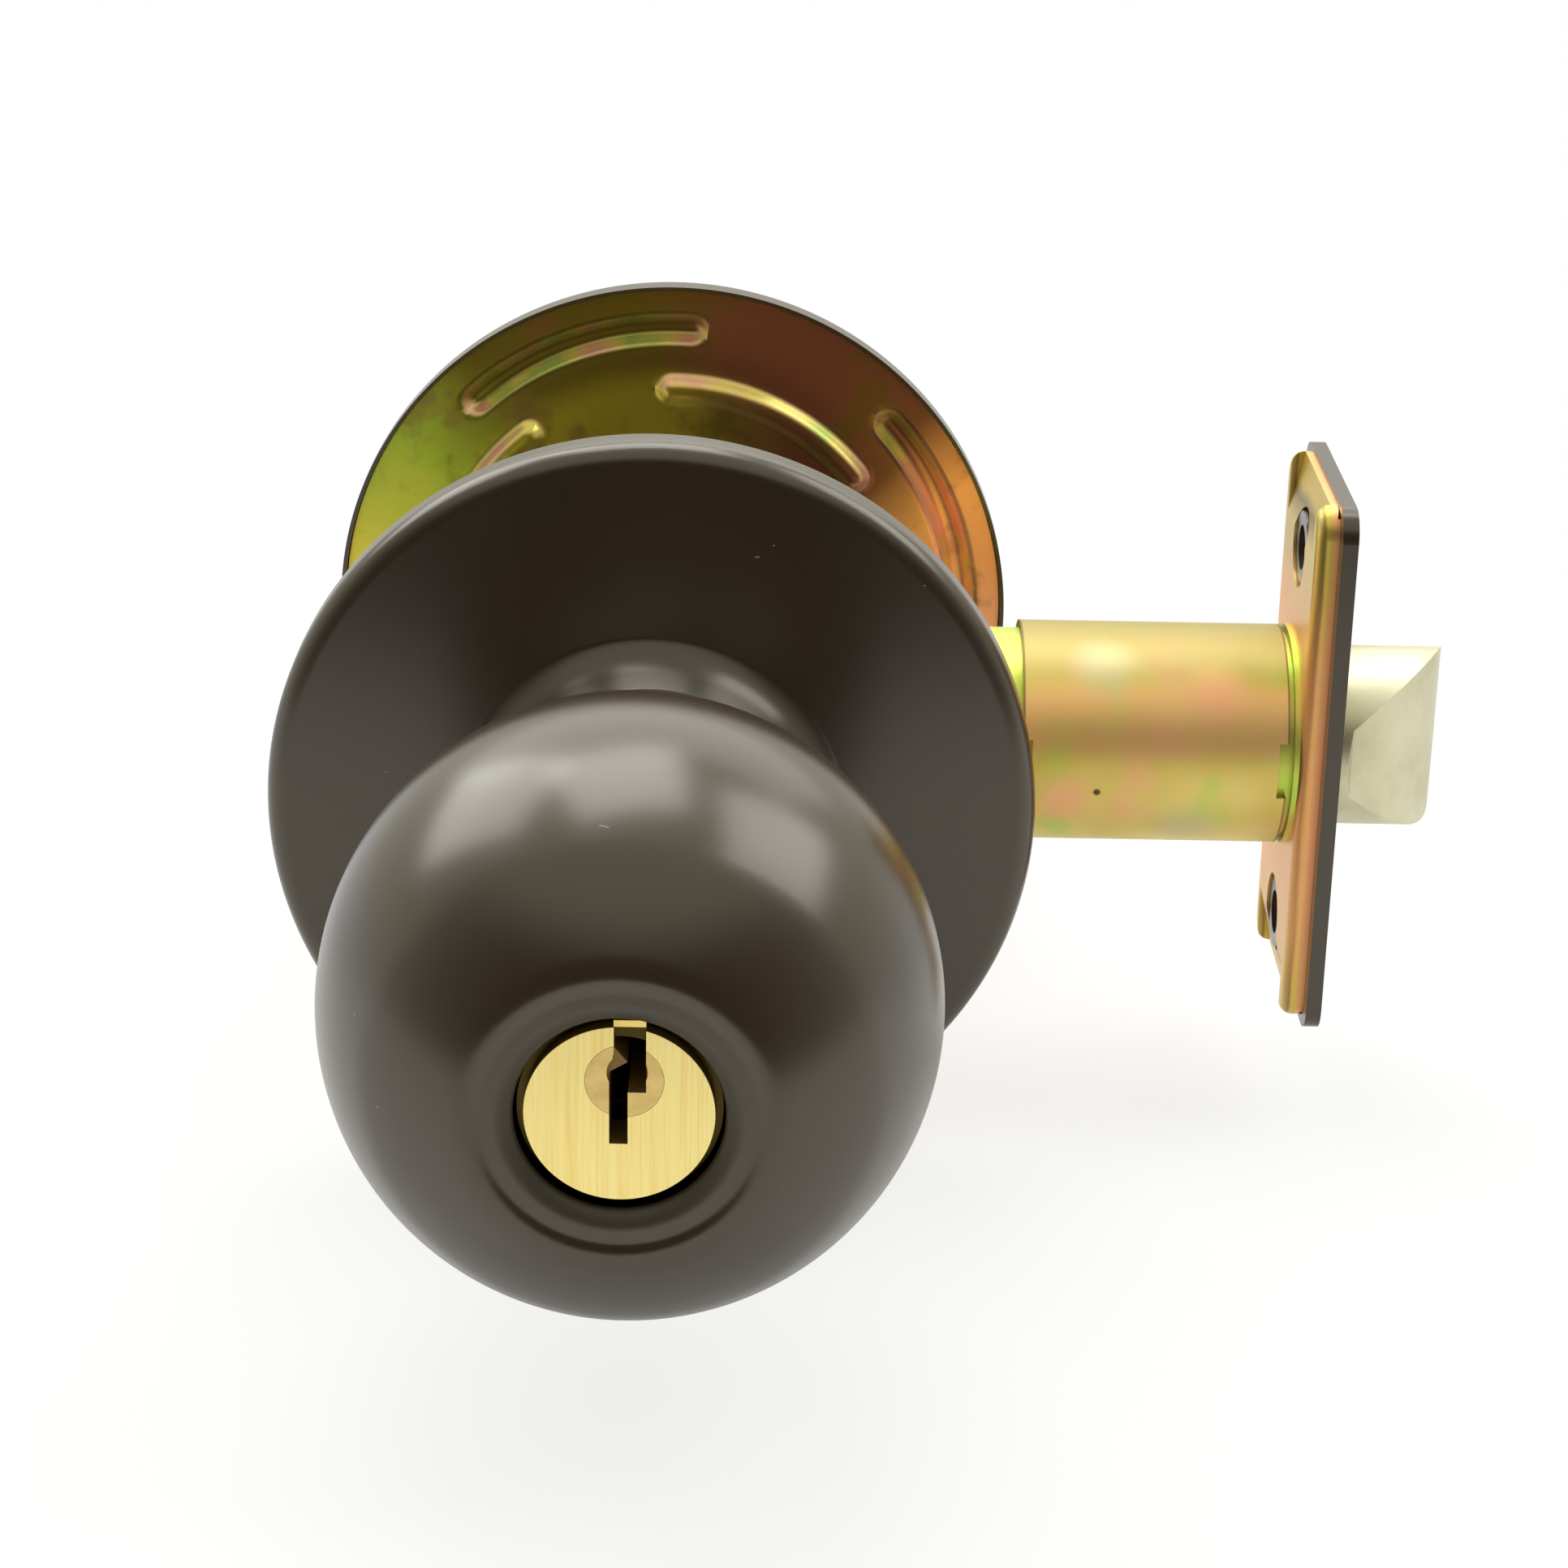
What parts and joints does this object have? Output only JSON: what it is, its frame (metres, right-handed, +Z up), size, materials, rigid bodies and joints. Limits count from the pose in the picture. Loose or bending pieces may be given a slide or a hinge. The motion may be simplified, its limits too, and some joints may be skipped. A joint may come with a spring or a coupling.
{
  "type": "cylindrical knob lock",
  "caption": "Keyed ball knob lock for a bored door, with round roses, a ribbed mounting plate and a sprung latch bolt behind a rectangular faceplate",
  "frame": {"origin": "where the knob axis crosses the latch bolt axis, at the middle of the chassis", "axes": "Y along the knob axis with the keyed side at -Y, X along the latch towards the bolt, Z up"},
  "size_m": [0.1206, 0.1905, 0.0762],
  "materials": {
    "dark_bronze": "satin dark bronze plating over steel",
    "gold_chromate": "yellow chromate over zinc plated steel, satin, with faint pink and green tints",
    "rainbow_chromate": "yellow chromate over zinc plated steel, bright, with strong green, purple and orange tints",
    "plug_brass": "brass, face brushed straight up and down",
    "pin_brass": "turned brass",
    "insert_steel": "matt grey-brown steel",
    "bolt_nickel": "satin nickel",
    "cast_zinc": "die cast zinc, matt",
    "plain_steel": "bright zinc plated steel",
    "spring_steel": "drawn spring wire"
  },
  "bodies": {
    "chassis": {"chassis_case": "gold_chromate", "outside_hub": "rainbow_chromate", "inside_hub": "rainbow_chromate", "retractor_guides": "rainbow_chromate", "retractor_springs": "spring_steel", "latch_tube": "gold_chromate", "latch_sleeve": "gold_chromate", "latch_backplate": "gold_chromate", "latch_faceplate": "dark_bronze", "tail_guide": "cast_zinc", "bolt_spring": "spring_steel", "deadlatch_spring": "spring_steel"},
    "outside_trim": {"outside_rose": "dark_bronze", "outside_rose_liner": "rainbow_chromate"},
    "inside_trim": {"inside_rose": "dark_bronze", "mounting_plate": "rainbow_chromate", "mounting_screws": "plain_steel"},
    "retractor_body": {"retractor": "cast_zinc"},
    "bolt": {"latch_bolt": "bolt_nickel", "latch_tail": "plain_steel", "tail_pin": "bolt_nickel"},
    "deadlatch": {"deadlatch_plunger": "bolt_nickel"},
    "outside_handle": {"outside_knob": "dark_bronze", "outside_knob_liner": "plain_steel", "outside_spindle": "plain_steel", "cylinder_body": "plug_brass", "pin_cover": "pin_brass", "pin_springs": "spring_steel"},
    "plug": {"key_plug": "plug_brass", "plug_insert": "insert_steel", "bottom_pins": "pin_brass", "plug_clip": "plain_steel", "tailpiece": "plain_steel"},
    "drivers": {"driver_pins": "pin_brass"},
    "plunger": {"locking_plunger": "cast_zinc"},
    "outside_catch": {"outside_knob_catch": "dark_bronze"},
    "inside_handle": {"inside_knob": "dark_bronze", "inside_knob_liner": "plain_steel", "inside_spindle": "plain_steel", "button_spring": "spring_steel"},
    "inside_catch": {"inside_knob_catch": "dark_bronze"},
    "button_bush": {"button_sleeve": "dark_bronze"},
    "button": {"turn_button": "dark_bronze", "button_bar": "plain_steel"}
  },
  "joints": [
    {"name": "outside_knob_turn", "type": "hinge", "parent": "chassis", "child": "outside_handle", "pos_m": [0, -0.06915, 0], "axis": [0, 1, 0], "range_deg": [0, 60], "stiffness_Nm_per_rad": 0.25},
    {"name": "retractor_slide", "type": "slide", "parent": "chassis", "child": "retractor_body", "axis": [-1, 0, 0], "range_m": [0, 0.0127], "deforming": ["retractor_springs"]},
    {"name": "bolt_slide", "type": "slide", "parent": "chassis", "child": "bolt", "axis": [-1, 0, 0], "range_m": [0, 0.0127], "deforming": ["bolt_spring"]},
    {"name": "deadlatch_slide", "type": "slide", "parent": "chassis", "child": "deadlatch", "axis": [-1, 0, 0], "range_m": [0, 0.0098], "stiffness_N_per_m": 120, "deforming": ["deadlatch_spring"]},
    {"name": "inside_knob_turn", "type": "hinge", "parent": "chassis", "child": "inside_handle", "pos_m": [0, 0.06915, 0], "axis": [0, 1, 0], "range_deg": [-60, 60], "stiffness_Nm_per_rad": 0.25},
    {"name": "key_turn", "type": "hinge", "parent": "outside_handle", "child": "plug", "pos_m": [0, -0.0903, 0], "axis": [0, 1, 0], "range_deg": [-90, 90]},
    {"name": "driver_pin_lift", "type": "slide", "parent": "outside_handle", "child": "drivers", "axis": [0, 0, -1], "range_m": [0, 0.0015], "stiffness_N_per_m": 150, "deforming": ["pin_springs"]},
    {"name": "outside_catch_press", "type": "slide", "parent": "outside_handle", "child": "outside_catch", "axis": [0, 0, 1], "range_m": [0, 0.0016], "stiffness_N_per_m": 400},
    {"name": "inside_catch_press", "type": "slide", "parent": "inside_handle", "child": "inside_catch", "axis": [0, 0, 1], "range_m": [0, 0.0016], "stiffness_N_per_m": 400},
    {"name": "button_turn", "type": "hinge", "parent": "inside_handle", "child": "button_bush", "pos_m": [0, 0.0929, 0], "axis": [0, 1, 0], "range_deg": [0, 90]},
    {"name": "button_push", "type": "slide", "parent": "button_bush", "child": "button", "axis": [0, -1, 0], "range_m": [0, 0.003], "stiffness_N_per_m": 120, "deforming": ["button_spring"]},
    {"name": "plunger_slide", "type": "slide", "parent": "outside_handle", "child": "plunger", "axis": [0, -1, 0], "range_m": [0, 0.003]},
    {"name": "outside_rose_adjust", "type": "slide", "parent": "chassis", "child": "outside_trim", "axis": [0, 1, 0], "range_m": [0, 0.0047]},
    {"name": "inside_trim_slide", "type": "slide", "parent": "chassis", "child": "inside_trim", "axis": [0, -1, 0], "range_m": [0, 0.0133]}
  ],
  "couplings": [
    {"joint": "retractor_slide", "follows": "outside_knob_turn", "m_per_rad": 0.012128},
    {"joint": "bolt_slide", "follows": "outside_knob_turn", "m_per_rad": 0.012128},
    {"joint": "plunger_slide", "follows": "button_push", "ratio": 1}
  ]
}
